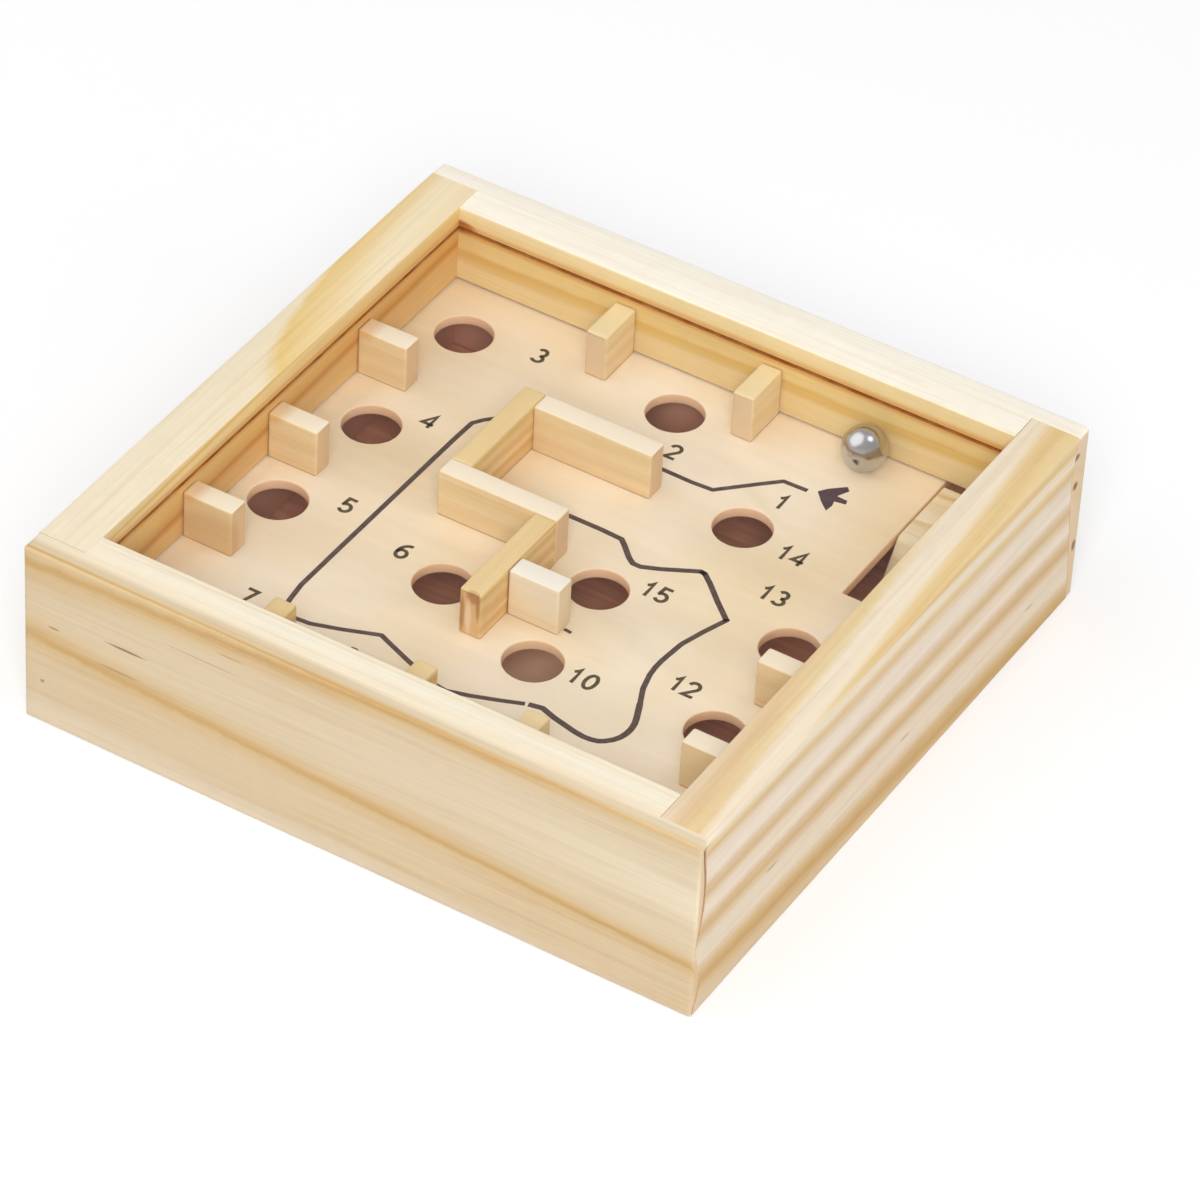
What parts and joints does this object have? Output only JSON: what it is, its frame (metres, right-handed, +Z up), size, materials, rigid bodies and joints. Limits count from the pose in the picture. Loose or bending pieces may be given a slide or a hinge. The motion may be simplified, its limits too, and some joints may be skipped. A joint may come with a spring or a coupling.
{
  "type": "wooden ball maze puzzle",
  "caption": "Square pine tilt maze: a clear window over a drilled board with glued fences, a return ramp under a slot, and a loose steel ball.",
  "frame": {"origin": "middle of the underside of the case", "axes": "+X to the right along the front wall, +Y to the back, +Z up out of the window"},
  "size_m": [0.124, 0.122, 0.035],
  "materials": {
    "case_pine": "sanded, unvarnished pine",
    "panel_plywood": "raw reddish plywood",
    "board_veneer": "smooth sanded board with printed line and numbers",
    "window_acrylic": "clear polished acrylic",
    "ramp_pine": "sanded pine",
    "fence_pine": "sanded pine",
    "ball_steel": "polished ball-bearing steel"
  },
  "bodies": {
    "case": {"front_wall": "case_pine", "right_wall": "case_pine", "back_wall": "case_pine", "left_wall": "case_pine", "bottom_panel": "panel_plywood", "maze_board": "board_veneer", "clear_window": "window_acrylic", "return_ramp": "ramp_pine", "left_fence_back": "fence_pine", "left_fence_middle": "fence_pine", "left_fence_front": "fence_pine", "right_fence_back": "fence_pine", "right_fence_front": "fence_pine", "back_fence_left": "fence_pine", "back_fence_right": "fence_pine", "front_fence_left": "fence_pine", "front_fence_middle": "fence_pine", "front_fence_right": "fence_pine", "centre_bar_middle": "fence_pine", "centre_bar_left": "fence_pine", "centre_bar_back": "fence_pine", "centre_bar_front": "fence_pine", "centre_spur": "fence_pine"},
    "ball": {"steel_ball": "ball_steel"}
  },
  "joints": [
    {"name": "ball_roll", "type": "slide", "parent": "case", "child": "ball", "axis": [1, 0, 0], "range_m": [-0.0139, 0.0202]}
  ]
}
